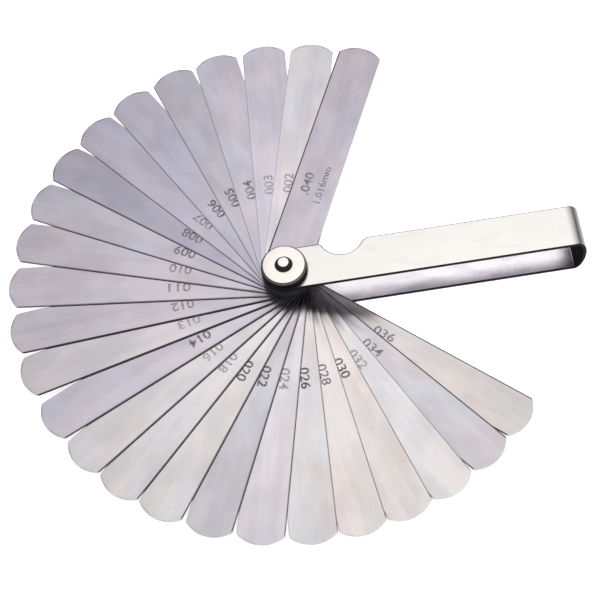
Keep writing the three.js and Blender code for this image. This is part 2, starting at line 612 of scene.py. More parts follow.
@dataclass(frozen=True)
class GroundSteel:
    """Spring steel, ground lengthwise and handled since.

    Attributes:
        colour: Its colour.
        roughness: How dull the ground face is.
        seed: Which part of the patterns it shows.
        mottling: How strongly its tone wanders.
        tip: Where the middle of the tip's arc lies along the blade, in metres.
        tip_radius: Radius of the tip's arc.
        half_width: Half the blade's width.
        edge_shade: How dark the painted shade line along the leading edge is, from 0 to 1.
        edge_shade_width: How wide that line is.
        painted_shade: How dark the painted shade round the pivot is, from 0 to 1.
        painted_shade_reach: How far from the pivot the painted shade has half faded.
        root_tone: How light the steel is near the pivot.
        tip_tone: How light it is at the tip.
    """

    colour: Colour
    roughness: float = 0.2
    seed: float = 0.0
    mottling: float = 0.06
    tip: float = 0.0689
    tip_radius: float = 0.0089
    half_width: float = 0.00635
    edge_shade: float = 0.5
    edge_shade_width: float = 0.0002
    painted_shade: float = 0.0
    painted_shade_reach: float = 0.01
    root_tone: float = 1.06
    tip_tone: float = 0.94

    def from_edge(self, bench: NodeBench) -> NodeSocket:
        """How far in from the blade's outline a point of its face lies.

        Args:
            bench: The material's bench.

        Returns:
            The distance in metres, below 0 inside.
        """
        along, across, _ = bench.parts()
        side = bench.maths("SUBTRACT", bench.maths("ABSOLUTE", across), self.half_width)
        past = bench.maths("SUBTRACT", along, self.tip)
        end = bench.maths("SUBTRACT", bench.distance(past, across), self.tip_radius)
        return bench.maths("MAXIMUM", side, bench.maths("MINIMUM", end, past))

    def material(self, name: str) -> Material:
        """Makes the material.

        Args:
            name: Its name.

        Returns:
            The material.
        """
        bench = NodeBench(name)
        grain = bench.pattern((90.0, 9000.0, 9000.0), self.seed, 2.0, 0.6)
        bands = bench.pattern((18.0, 520.0, 520.0), self.seed + 1, 3.0)
        clouds = bench.pattern((70.0, 130.0, 130.0), self.seed + 2, 2.0)
        blush = bench.pattern((45.0, 90.0, 90.0), self.seed + 3, 1.0)
        specks = bench.pattern((1100.0, 1500.0, 1500.0), self.seed + 4, 1.0)
        radius = bench.from_axis()
        lead = bench.maths("SUBTRACT", bench.parts()[1], self.half_width)
        outer, inner = -0.7 * self.edge_shade_width, -1.5 * self.edge_shade_width
        tone = bench.product(
            bench.spread(clouds, *USUAL, 1 - self.mottling, 1 + self.mottling),
            bench.spread(bands, *USUAL, 0.975, 1.025),
            bench.spread(grain, 0.25, 0.75, 0.975, 1.025),
            bench.spread(specks, 0.22, 0.32, 0.88, 1.0),
            bench.spread(radius, 0.02, 0.078, self.root_tone, self.tip_tone),
            # Painted shade: a faint dark band round the whole outline, and a darker line along the
            # leading edge.
            bench.spread(self.from_edge(bench), -0.00022, -0.00005, 1.0, 1 - 0.15 * self.edge_shade),
            bench.spread(lead, inner, outer, 1.0, 1 - self.edge_shade),
        )
        cool = tuple(c * k for c, k in zip(self.colour, (0.985, 0.992, 1.025)))
        warm = tuple(c * k for c, k in zip(self.colour, (1.03, 0.983, 0.987)))
        colour = bench.mixed(bench.spread(blush, 0.38, 0.62, 0.0, 1.0), cool, warm)
        colour = bench.mixed(1.0, colour, tone, "MULTIPLY")
        # Painted shade round the pivot, darker and wider on blades lower in the stack, with a
        # wavering outer edge.
        film = bench.maths("ADD", radius, bench.spread(bands, *USUAL, -0.0015, 0.0015))
        pivot_shade_share = bench.spread(film, 0.72 * self.painted_shade_reach, 1.3 * self.painted_shade_reach, self.painted_shade, 0.0)
        colour = bench.mixed(pivot_shade_share, colour, PIVOT_SHADE_COLOUR)
        rough = bench.spread(clouds, *USUAL, self.roughness + 0.05, self.roughness - 0.03)
        rough = bench.maths("ADD", rough, bench.spread(grain, 0.2, 0.8, -0.02, 0.03))
        bench.relief(grain, 0.000004, 0.18)
        return bench.surface(colour, rough)


@dataclass(frozen=True)
class StrapSteel:
    """Bright plated strap: satin outside, its bend and its inside duller; painted shade darkens it
    inside the fold, towards the -Y edge inside and round the nut's foot.

    Attributes:
        colour: Colour of the plating.
        bend_colour: Colour that the bend darkens to; inside the fold this is painted shade.
        shade_and_smear_colour: Colour of the painted shade towards the -Y cut edge inside, and of
            the smears.
        roughness: How dull the plating is.
        bend: Where along the case the darkening over the bend starts and is complete, in metres.
        edge: How far towards -Y from the middle the painted shade inside starts and is complete,
            in metres.
        smears: How strongly smears show.
        ring: Where the painted shade round the nut's foot starts to fade and ends, in metres.
    """

    colour: Colour
    bend_colour: Colour
    shade_and_smear_colour: Colour
    roughness: float
    bend: Point
    edge: Point
    smears: float = 0.03
    ring: Point = (0.0061, 0.0069)

    def material(self, name: str) -> Material:
        """Makes the material.

        Args:
            name: Its name.

        Returns:
            The material.
        """
        bench = NodeBench(name)
        along, across, _ = bench.parts()
        grain = bench.pattern((120.0, 7000.0, 7000.0), 4.0, 2.0, 0.6)
        clouds = bench.pattern((55.0, 150.0, 150.0), 5.0, 3.0)
        smear = bench.pattern((110.0, 320.0, 320.0), 6.0, 2.0)
        dull = bench.spread(along, *self.bend, 0.0, 1.0)
        # Painted shade inside, darkening towards the -Y edge along a wavering line.
        wander = bench.product(bench.maths("SUBTRACT", clouds, 0.5), 0.004)
        side = bench.maths("ADD", bench.product(across, -1.0), wander)
        painted_shade = bench.spread(side, *self.edge, 0.0, 1.0)
        colour = bench.mixed(painted_shade, self.colour, self.shade_and_smear_colour)
        # Darker over the bend; inside the fold this is painted shade.
        colour = bench.mixed(dull, colour, self.bend_colour)
        # Painted shade round the nut's foot, near black under the nut's rim.
        film = bench.spread(bench.from_axis(), *self.ring, 0.94, 0.0)
        colour = bench.mixed(film, colour, NUT_FOOT_SHADE_COLOUR)
        smeared = bench.spread(smear, 0.52, 0.7, 0.0, self.smears)
        colour = bench.mixed(smeared, colour, shaded(self.shade_and_smear_colour, 0.8))
        light = bench.spread(grain, 0.25, 0.75, 0.0, 0.035)
        colour = bench.mixed(light, colour, shaded(self.colour, 0.7))
        rough = bench.spread(clouds, *USUAL, self.roughness - 0.03, self.roughness + 0.05)
        rough = bench.maths("ADD", rough, bench.product(dull, 0.12))
        bench.relief(grain, 0.000004, 0.15)
        return bench.surface(colour, rough)


@dataclass(frozen=True)
class TurnedSteel:
    """Steel faced off in the lathe, with fine rings round the axis.

    Attributes:
        colour: Its colour.
        roughness: How dull it is.
        ring_pitch: Rings to the metre.
    """

    colour: Colour
    roughness: float = 0.22
    ring_pitch: float = 4200.0

    def material(self, name: str) -> Material:
        """Makes the material.

        Args:
            name: Its name.

        Returns:
            The material.
        """
        bench = NodeBench(name)
        ringed = bench.add("ShaderNodeCombineXYZ")
        bench.join(bench.product(bench.from_axis(), self.ring_pitch), ringed.inputs[0])
        rings = bench.noise(ringed.outputs[0], 2.0, 0.7)
        clouds = bench.pattern((260.0, 260.0, 260.0), 8.0, 3.0)
        cut = bench.spread(rings, *USUAL, 0.0, 0.08)
        colour = bench.mixed(cut, self.colour, shaded(self.colour, 0.6))
        warm = (self.colour[0], self.colour[1] * 0.96, self.colour[2] * 0.93)
        colour = bench.mixed(bench.spread(clouds, 0.4, 0.65, 0.0, 0.7), colour, warm)
        rough = bench.spread(clouds, *USUAL, self.roughness - 0.03, self.roughness + 0.06)
        bench.relief(rings, 0.000006, 0.2)
        return bench.surface(colour, rough)


@dataclass(frozen=True)
class DarkSteel:
    """Steel painted near black as shade on walls and edges: cut edges, the knurl, the stud's cone
    and the spacer block.

    Attributes:
        colour: Its colour.
        roughness: How dull it is.
        wear: Share of lighter, worn patches.
        worn: Colour of those patches.
        metallic: How metallic it is; kept low so that the painted shade stays dark.
        gloss: How strongly its surface film shines.
        tip_colour: Its lighter colour along the blade beyond bright_from, where the edge is not
            painted dark.
        bright_from: Where along the blade that starts and is complete, in metres.
    """

    colour: Colour
    roughness: float = 0.45
    wear: float = 0.3
    worn: Colour = (0.3, 0.29, 0.3)
    metallic: float = 0.25
    gloss: float = 0.03
    tip_colour: Colour | None = None
    bright_from: Point = (0.0744, 0.0752)

    def material(self, name: str) -> Material:
        """Makes the material.

        Args:
            name: Its name.

        Returns:
            The material.
        """
        bench = NodeBench(name)
        patches = bench.pattern((420.0, 420.0, 420.0), 2.0, 4.0, 0.6)
        shear = bench.pattern((5000.0, 5000.0, 300.0), 3.0, 2.0)
        lightened = bench.spread(patches, 0.45, 0.75, 0.0, self.wear)
        colour = bench.mixed(lightened, self.colour, self.worn)
        streaks = bench.spread(shear, *USUAL, 0.0, 0.35)
        colour = bench.mixed(streaks, colour, shaded(self.colour, 0.6))
        rough = bench.spread(patches, *USUAL, self.roughness + 0.06, self.roughness - 0.05)
        bench.relief(shear, 0.00001, 0.25)
        bench.shader.inputs["Specular IOR Level"].default_value = self.gloss
        if self.tip_colour:
            bright = bench.spread(bench.parts()[0], *self.bright_from, 0.0, 1.0)
            colour = bench.mixed(bright, colour, self.tip_colour)
        return bench.surface(colour, rough, self.metallic)


@dataclass(frozen=True)
class EtchedMark:
    """Acid-etched figures: matt, grey and broken here and there.

    Attributes:
        etch: How well the etch took.
    """

    etch: Etch

    def material(self, name: str) -> Material:
        """Makes the material.

        Args:
            name: Its name.

        Returns:
            The material.
        """
        bench = NodeBench(name)
        full, faint = self.etch.value
        broken = bench.pattern((1500.0, 1500.0, 1500.0), 1.0, 3.0, 0.65)
        fading = bench.pattern((300.0, 300.0, 300.0), 7.0, 1.0)
        gaps = bench.spread(broken, 0.35, 0.7, 0.0, 0.75)
        share = bench.maths("ADD", gaps, bench.spread(fading, 0.4, 0.7, 0.0, 0.35))
        colour = bench.mixed(bench.maths("MINIMUM", share, 1.0), full, faint)
        rough = bench.spread(broken, *USUAL, 0.6, 0.45)
        bench.relief(broken, 0.000005, 0.3)
        return bench.surface(colour, rough, 0.85)


@dataclass(frozen=True)
class WhitePaper:
    """The pale sheet that the gauge lies on.

    Attributes:
        colour: Its colour.
        glow: How strongly it is lit from below, as on a light table.
    """

    colour: Colour = (0.93, 0.93, 0.93)
    glow: float = 0.5

    def material(self, name: str) -> Material:
        """Makes the material.

        Args:
            name: Its name.

        Returns:
            The material.
        """
        bench = NodeBench(name)
        fibres = bench.pattern((900.0, 900.0, 900.0), 0.0, 4.0)
        share = bench.spread(fibres, *USUAL, 0.0, 0.02)
        colour = bench.mixed(share, self.colour, shaded(self.colour, 0.9))
        bench.shader.inputs["Emission Color"].default_value = (1.0, 1.0, 1.0, 1.0)
        bench.shader.inputs["Emission Strength"].default_value = self.glow
        return bench.surface(colour, bench.spread(fibres, *USUAL, 0.85, 0.95), 0.0)


# ---- The case ----------------------------------------------------------------------------------


@dataclass
class Fitted:
    """A piece that takes its place and size from a node of the CAD.

    Attributes:
        node: The node.
    """

    node: str

    def __post_init__(self) -> None:
        """Reads the node's two corners, in millimetres."""
        self.low, self.high = (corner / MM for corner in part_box(self.node))


@dataclass
class StrapCase(Fitted):
    """One strap folded round the closed end, its two cheeks holding the blades."""

    node: str = "case"
    sheet: float = 1.0
    lower_bend: float = 3.2
    upper_bend: float = 2.8
    upper_share: float = 0.4
    fold_steps: int = 64
    half_fold: float = 10.0
    rim: float = 0.32
    notch_at: float = 16.8
    notch_radius: float = 6.2
    notch_depth: float = 4.25
    lip_near_pivot: float = 1.2
    lip_far: float = 3.0
    stud_hole: float = 2.5
    sink_foot: float = 2.45
    sink_flare: float = 1.25
    # How far before the upper bend the outside starts to darken, and how far past the start of the
    # lower bend the inside takes to turn fully black as painted shade.
    dull_run: float = 1.8
    fold_shade_run: float = 0.35

    def __post_init__(self) -> None:
        """Works out the lengths that follow from the sizes."""
        super().__post_init__()
        self.half = (self.high.y - self.low.y) / 2
        self.height = self.high.z - self.low.z
        self.middle = self.height * (1 - self.upper_share)

    def notched_edge(self) -> list[Point]:
        """The cheek's +Y edge from the pivot to the fold, with the thumb notch.

        Returns:
            The points, along X.
        """
        notch = (self.notch_at, self.half - self.notch_depth + self.notch_radius)
        lips = []
        for side, radius in ((-1, self.lip_near_pivot), (1, self.lip_far)):
            drop = notch[1] - (self.half - radius)
            reach = math.sqrt((self.notch_radius + radius) ** 2 - drop**2)
            middle = (self.notch_at + side * reach, self.half - radius)
            lips.append((*middle, radius, math.atan2(drop, reach)))
        near, far = lips
        return [
            (0.0, self.half),
            *arc(near[:2], near[2], QUARTER_TURN, near[3], 10),
            *arc(notch, self.notch_radius, near[3] - math.pi, -far[3], 36)[1:-1],
            *arc(far[:2], far[2], math.pi - far[3], QUARTER_TURN, 14),
        ]

    def flat_run(self, x: float, upper: bool) -> float:
        """How far from the fold's middle a point of a cheek lies on the flattened strap."""
        run = self.half_fold + self.high.x - (self.upper_bend if upper else self.lower_bend) - x
        return run if upper else -run

    def bent(self, run: float, across: float, depth: float) -> Vector:
        """Where a point of the flattened strap goes when the strap is folded.

        Args:
            run: Its run along the strap from the middle of the fold.
            across: Its place across the strap.
            depth: Its depth under the outer face.

        Returns:
            The place in the case.
        """
        bend, rise = self.upper_bend, self.height - self.middle
        if run < 0:
            bend, rise = self.lower_bend, self.middle
        start = self.high.x - bend
        if abs(run) > self.half_fold:
            x = start - (abs(run) - self.half_fold)
            return Vector((x, across, self.height - depth if run > 0 else depth))
        turn = run / self.half_fold * QUARTER_TURN
        x = start + (bend - depth) * math.cos(turn)
        return Vector((x, across, self.middle + (rise - depth) * math.sin(turn)))

    def flat_strap(self) -> Plate:
        """The strap before it is folded.

        Returns:
            The plate.
        """
        steps = range(self.fold_steps + 1)
        fold = [self.half_fold * (2 * step / self.fold_steps - 1) for step in steps]
        head = arc((0.0, 0.0), self.half, -QUARTER_TURN, -3 * QUARTER_TURN, 48)[1:-1]
        notched = self.notched_edge()
        outside = [(run, -self.half) for run in fold]
        outside += [(self.flat_run(0.0, True), -self.half)]
        outside += [(self.flat_run(x, True), y) for x, y in head]
        outside += [(self.flat_run(x, True), y) for x, y in notched]
        far_side = len(outside)
        outside += [(run, self.half) for run in reversed(fold)]
        outside += [(self.flat_run(x, False), y) for x, y in reversed(notched)]
        outside += [(self.flat_run(x, False), y) for x, y in reversed(head)]
        outside += [(self.flat_run(0.0, False), -self.half)]
        ribs = [(step, far_side + self.fold_steps - step) for step in steps]
        round_hole = arc((0.0, 0.0), self.stud_hole, FULL_TURN, 0.0, 64)[:-1]
        sunk_hole = arc((0.0, 0.0), self.sink_foot, 0.0, FULL_TURN, 64)[:-1]
        upper = [(self.flat_run(0.0, True) - x, y) for x, y in reversed(round_hole)]
        lower = [(self.flat_run(0.0, False) + x, y) for x, y in reversed(sunk_hole)]
        cuts = [Cut(outside), Cut(upper), Cut(lower, self.sink_flare)]
        return Plate(cuts, self.sheet, self.rim, ribs, Skin.INNER)

    def build(self) -> list[Object]:
        """Builds and dresses the case.

        Returns:
            Its one piece.
        """
        mesh = self.flat_strap().mesh("case_strap", self.bent)
        upper_start, lower_start = self.high.x - self.upper_bend, self.high.x - self.lower_bend
        bend = ((upper_start - self.dull_run) * MM, (upper_start + self.upper_bend / 2) * MM)
        fold_shade_span = (lower_start * MM, (lower_start + self.fold_shade_run) * MM)
        never = (1.0, 2.0)
        # Outside, the strap darkens to grey over the bend; inside, the fold turns near black as
        # painted shade.
        grey, fold_shade = (0.13, 0.126, 0.13), (0.012, 0.011, 0.014)
        outer = StrapSteel((0.728, 0.712, 0.693), grey, grey, 0.2, bend, never, 0.05)
        # Inside: a lighter, lavender copy of the plating as painted light; the darker colour is
        # the painted shade near the -Y edge, and the smears.
        bright, edge_shade_and_smear = (0.84, 0.825, 0.845), (0.31, 0.285, 0.33)
        inner = StrapSteel(bright, fold_shade, edge_shade_and_smear, 0.27, fold_shade_span, (0.0016, 0.006), 0.16)
        # The cut and rolled edges are painted near black as shade.
        edge = DarkSteel((0.006, 0.005, 0.006), 0.45, 0.2, (0.025, 0.023, 0.026), 0.05, 0.01)
        rim = DarkSteel((0.018, 0.017, 0.018), 0.42, 0.25, (0.05, 0.047, 0.05), 0.15, 0.02)
        finishes = [
            outer.material("strap_outside"),
            rim.material("strap_rolled_edge"),
            edge.material("strap_cut_edge"),
            inner.material("strap_inside"),
        ]
        piece = new_piece("case_strap", mesh, finishes)
        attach(piece, "case")
        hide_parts("case")
        return [piece]


@dataclass
class EndBlock(Fitted):
    """Spacer block that fills the fold and keeps the cheeks apart."""

    node: str = "end_block"
    case: StrapCase = field(default_factory=StrapCase)
    rim: float = 0.08
    curve_steps: int = 12

    def side_line(self) -> list[Point]:
        """The block seen from the side: as the strap's fold at the back, flat at the front.

        Returns:
            The points, in X and Z.
        """
        inset = self.case.high.x - self.high.x
        height, middle = self.case.height, self.case.middle
        lower, upper = self.case.lower_bend - inset, self.case.upper_bend - inset
        start = self.high.x - lower
        swing = math.acos((self.low.x - start) / lower)
        line = []
        for step in range(self.curve_steps):
            turn = -swing * (1 - step / self.curve_steps)
            rise = (middle - inset) * math.sin(turn)
            line.append((start + lower * math.cos(turn), middle + rise))
        for step in range(self.curve_steps + 1):
            turn = QUARTER_TURN * step / self.curve_steps
            rise = (height - middle - inset) * math.sin(turn)
            line.append((self.high.x - upper + upper * math.cos(turn), middle + rise))
        return [*line, (self.low.x, self.high.z)]

    def build(self) -> list[Object]:
        """Builds and dresses the block.

        Returns:
            Its one piece.
        """
        width = self.high.y - self.low.y
        plate = Plate([Cut(self.side_line())], width, self.rim)
        mesh = plate.mesh("end_spacer", lambda x, z, depth: Vector((x, self.high.y - depth, z)))
        # Body and edges painted near black as the deep shade inside the fold.
        body = DarkSteel((0.004, 0.0035, 0.005), 0.6, 0.3, (0.012, 0.010, 0.015), 0.0, 0.004)
        rim = DarkSteel((0.005, 0.0045, 0.006), 0.5, 0.4, (0.016, 0.014, 0.019), 0.0, 0.008)
        names = ("spacer_side", "spacer_edge", "spacer_face")
        faces = [finish.material(name) for finish, name in zip((body, rim, body), names)]
        piece = new_piece("end_spacer", mesh, faces)
        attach(piece, "case")
        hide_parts("end_block")
        return [piece]


# ---- The pivot ---------------------------------------------------------------------------------


def rounded(profile: Profile, radius: float, closed: bool) -> Profile:
    """Breaks the sharp corners of a turned profile.

    Args:
        profile: Radius, height and skin of the run that starts there.
        radius: How far from each corner its rounding starts.
        closed: True if the profile comes back to its start.

    Returns:
        The profile with three points to each corner.
    """
    made = []
    count = len(profile)
    for i, (r, z, skin) in enumerate(profile):
        if not closed and i in (0, count - 1):
            made.append((r, z, skin))
            continue
        before, after = Vector(profile[i - 1][:2]), Vector(profile[(i + 1) % count][:2])
        here = Vector((r, z))
        back, on = (before - here), (after - here)
        start = here + back.normalized() * min(radius, back.length * CORNER_REACH)
        end = here + on.normalized() * min(radius, on.length * CORNER_REACH)
        for share in CORNER_SHARES:
            spot = start.lerp(here, share).lerp(here.lerp(end, share), share)
            corner_skin = Skin.WALL if Skin.WALL in (profile[i - 1][2], skin) else Skin.RIM
            made.append((spot.x, spot.y, skin if share == 1.0 else corner_skin))
    return made


@dataclass
class PivotStud(Fitted):
    """Stud through the stack: sunk head underneath, chamfered end above the nut."""

    node: str = "pivot_stud"
    shank: float = 2.4
    sheet: float = 1.0
    chamfer: float = 0.85
    chamfer_height: float = 1.1
    corner: float = 0.1

    def build(self) -> list[Object]:
        """Builds and dresses the stud.

        Returns:
            Its one piece.
        """
        top = self.high.z
        profile = [
            (0.0, self.low.z, Skin.FACE),
            (self.high.x, self.low.z, Skin.FACE),
            (self.shank, self.sheet, Skin.FACE),
            (self.shank, top - self.chamfer_height, Skin.WALL),
            (self.shank - self.chamfer, top, Skin.FACE),
            (0.0, top, Skin.FACE),
        ]
        turned = Turned(rounded(profile, self.corner, False), 96)
        bright = TurnedSteel((0.80, 0.775, 0.735), 0.18, 5200.0)
        # The rim is a lighter copy of the face's steel: painted highlight along the rounded
        # corners.
        rim = TurnedSteel((0.86, 0.84, 0.80), 0.14, 5200.0)
        # The cone is painted near black as shade.
        cone = DarkSteel((0.022, 0.02, 0.018), 0.35, 0.3, (0.10, 0.095, 0.085), 0.3)
        names = ("stud_face", "stud_rim", "stud_cone")
        finishes = [finish.material(name) for finish, name in zip((bright, rim, cone), names)]
        piece = new_piece("stud", turned.mesh("stud"), finishes)
        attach(piece, "case")
        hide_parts("pivot_stud")
        return [piece]


@dataclass
class LockNut(Fitted):
    """Round nut with a straight knurl, which locks the blades where they stand."""

    node: str = "lock_nut"
    bore: float = 2.46
    top_chamfer: float = 0.7
    foot_chamfer: float = 0.3
    sink: float = 0.05
    corner: float = 0.09
    teeth: int = 48
    knurl_depth: float = 0.22
    steps_per_tooth: int = 8

    def build(self) -> list[Object]:
        """Builds and dresses the nut.

        Returns:
            Its one piece.
        """
        radius, foot, top = self.high.x, self.low.z, self.high.z
        profile = [
            (self.bore, foot, Skin.FACE),
            (radius - self.foot_chamfer, foot, Skin.WALL),
            (radius, foot + self.foot_chamfer, Skin.WALL),
            (radius, top - self.top_chamfer, Skin.INNER),
            (radius - self.top_chamfer, top, Skin.FACE),
            (self.bore + self.sink, top, Skin.RIM),
            (self.bore, top - self.sink, Skin.WALL),
        ]
        steps = self.teeth * self.steps_per_tooth
        profile = rounded(profile, self.corner, True)
        turned = Turned(profile, steps, self.teeth, self.knurl_depth, True)
        face = TurnedSteel((0.80, 0.765, 0.735), 0.2, 4200.0)
        # The rim is a lighter copy of the face's steel: painted highlight along the rounded
        # corners.
        rim = TurnedSteel((0.88, 0.86, 0.82), 0.16, 4200.0)
        # The knurl is painted near black as shade.
        knurl = DarkSteel((0.008, 0.007, 0.008), 0.45, 0.2, (0.03, 0.028, 0.03), 0.08)
        # The chamfer is a darker copy of the turned steel: painted shade.
        slope = TurnedSteel((0.17, 0.16, 0.16), 0.26, 4200.0)
        finishes = [
            face.material("nut_face"),
            rim.material("nut_rim"),
            knurl.material("nut_knurl"),
            slope.material("nut_chamfer"),
        ]
        piece = new_piece("nut", turned.mesh("nut"), finishes)
        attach(piece, "lock_nut")
        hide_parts("lock_nut")
        return [piece]


# ---- The blades --------------------------------------------------------------------------------


@dataclass
class Label:
    """A line of etched figures on a blade.

    Attributes:
        text: The figures.
        height: How tall a figure is.
        length: How long the line is.
        middle: Middle of the line, along and across the blade.
    """

    text: str
    height: float
    length: float
    middle: Point
    boldness: float = 0.018

    def outline_mesh(self) -> Mesh:
        """Turns the figures into flat faces.

        Returns:
            The mesh, in units of the figures' own height.
        """
        curve = bpy.data.curves.new("figures", "FONT")
        curve.body = self.text
        curve.resolution_u = 4
        curve.offset = self.boldness
        holder = linked("figures", curve)
        bpy.context.view_layer.update()
        ready = holder.evaluated_get(bpy.context.evaluated_depsgraph_get())
        mesh = bpy.data.meshes.new_from_object(ready)
        bpy.data.objects.remove(holder)
        bpy.data.curves.remove(curve)
        return mesh

    def add_to(self, bm: BMesh, base: float, thickness: float) -> None:
        """Adds the figures to a mesh, as a thin raised film.

        Args:
            bm: The mesh being built.
            base: Height of the blade's face.
            thickness: Thickness of the film.
        """
        mesh = self.outline_mesh()
        xs = [corner.co.x for corner in mesh.vertices]
        ys = [corner.co.y for corner in mesh.vertices]
        stretch, scale = self.length / (max(xs) - min(xs)), self.height / (max(ys) - min(ys))
        centre = Vector(((max(xs) + min(xs)) / 2, (max(ys) + min(ys)) / 2))
        layers = []
        for lift in (base, base + thickness):
            layer = []
            for corner in mesh.vertices:
                x = self.middle[0] + (corner.co.x - centre.x) * stretch
                y = self.middle[1] + (corner.co.y - centre.y) * scale
                layer.append(bm.verts.new(Vector((x, y, lift)) * MM))
            layers.append(layer)
        low, high = layers
        used: dict[tuple[int, int], int] = {}
        for face in mesh.polygons:
            around = list(face.vertices)
            bm.faces.new([high[i] for i in around])
            bm.faces.new([low[i] for i in reversed(around)])
            for i, j in zip(around, around[1:] + around[:1]):
                used[(i, j)] = used.get((i, j), 0) + 1
        for i, j in used:
            if (j, i) not in used:
                bm.faces.new((low[i], low[j], high[j], high[i]))
        bpy.data.meshes.remove(mesh)


@dataclass
class Blade(Fitted):
    """One gauge blade, with its thickness etched near the pivot. Its node is also its body.

    Attributes:
        fanned: Where it rests, in radians from the case.
        tint: The faint colour of its ground face.
        shade: How light its face is beside plain ground steel.
        line: How dark the painted shade line along its leading edge is.
        etch: How well its figures were etched.
        stack: Heights of the lowest and the highest blade, in millimetres.
        seed: Which part of the patterns it shows.
    """

    fanned: float
    tint: Tint
    shade: float
    line: float
    etch: Etch
    stack: Point
    seed: float
    width: float = 12.7
    reach: float = 77.8
    tip_radius: float = 8.9
    corner: float = 0.8
    hole: float = 2.5
    widest_rim: float = 0.08
    rim_share: float = 0.24
    film: float = 0.006
    film_gap: float = 0.001
    mark_at: float = 28.8
    mark_drift: float = 1.5
    steel_tone: float = 0.52

    def depth(self) -> float:
        """How deep in the stack the blade lies: 0 at the top, 1 at the bottom."""
        bottom, top = self.stack
        return 1 - (self.low.z - bottom) / (top - bottom)

    def pivot_shade(self) -> Point:
        """Painted shade round the pivot, which is darker and wider lower down in the stack.

        Returns:
            How dark it is, from 0 to 1, and how far it reaches, in metres.
        """
        depth = self.depth()
        dark = max(0.0, min(0.9, 2.9 * depth - 0.1)) - max(0.0, depth - 0.85)
        lower_half = max(0.0, (depth - 0.45) / 0.55)
        return dark, 0.0095 + 0.0135 * lower_half**1.4

    def outline(self) -> list[Point]:
        """Round pivot end, straight sides and a shallow arc across the tip.

        Returns:
            The points, against the clock.
        """
        half = self.width / 2
        tip = (self.reach - self.tip_radius, 0.0)
        rise = half - self.corner
        reach = math.sqrt((self.tip_radius - self.corner) ** 2 - rise**2)
        turn = math.atan2(rise, reach)
        return [
            *arc((0.0, 0.0), half, QUARTER_TURN, 3 * QUARTER_TURN, 48),
            *arc((tip[0] + reach, -rise), self.corner, -QUARTER_TURN, -turn, 8),
            *arc(tip, self.tip_radius, -turn, turn, 32)[1:-1],
            *arc((tip[0] + reach, rise), self.corner, turn, QUARTER_TURN, 8),
        ]

    def turned_to_rest(self) -> Matrix:
        """The turn that puts the blade where it rests."""
        return Matrix.Rotation(self.fanned, 4, "Z")

    def build_steel(self, edge: Material, rim: Material) -> Object:
        """Builds the steel and dresses it.

        Args:
            edge: Finish of the cut edge.
            rim: Finish of its broken corners.

        Returns:
            The piece.
        """
        low, thickness = self.low.z, self.high.z - self.low.z
        hole = arc((0.0, 0.0), self.hole, FULL_TURN, 0.0, 48)[:-1]
        rounding = min(self.widest_rim, thickness * self.rim_share)
        plate = Plate([Cut(self.outline()), Cut(hole)], thickness, rounding, rim_steps=2)
        mesh = plate.mesh(f"steel_{self.node}", lambda x, y, z: Vector((x, y, low + z)))
        colour = tuple(self.steel_tone * self.shade * channel for channel in self.tint.value)
        # Painted shade round the pivot and along the leading edge.
        painted_shade, painted_shade_reach = self.pivot_shade()
        ground = GroundSteel(
            colour,
            seed=self.seed,
            edge_shade=self.line,
            edge_shade_width=0.00014 + 0.00026 * self.line,
            painted_shade=painted_shade,
            painted_shade_reach=painted_shade_reach,
        )
        face = ground.material(f"ground_{self.node}")
        piece = new_piece(f"steel_{self.node}", mesh, [face, rim, edge])
        piece.matrix_world = self.turned_to_rest()
        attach(piece, self.node)
        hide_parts(self.node)
        return piece

    def build_mark(self, finish: Material) -> Object:
        """Builds the etched figures: inches above, millimetres below.

        Args:
            finish: Finish of the figures.

        Returns:
            The piece.
        """
        thou = int(self.node[-3:])
        face = self.high.z + self.film_gap
        bm = bmesh.new()
        out = self.mark_at + self.mark_drift * self.depth()
        metric = f"{thou * INCH / 1000:.3f}mm"
        Label(f".{thou:03d}", 2.7, 7.3, (out, 2.2)).add_to(bm, face, self.film)
        Label(metric, 2.1, 12.3, (out + 0.6, -2.1)).add_to(bm, face, self.film)
        mesh = finished_mesh(bm, f"mark_{self.node}", False)
        mesh.materials.append(finish)
        piece = linked(mesh.name, mesh)
        piece.matrix_world = self.turned_to_rest()
        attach(piece, self.node)
        return piece


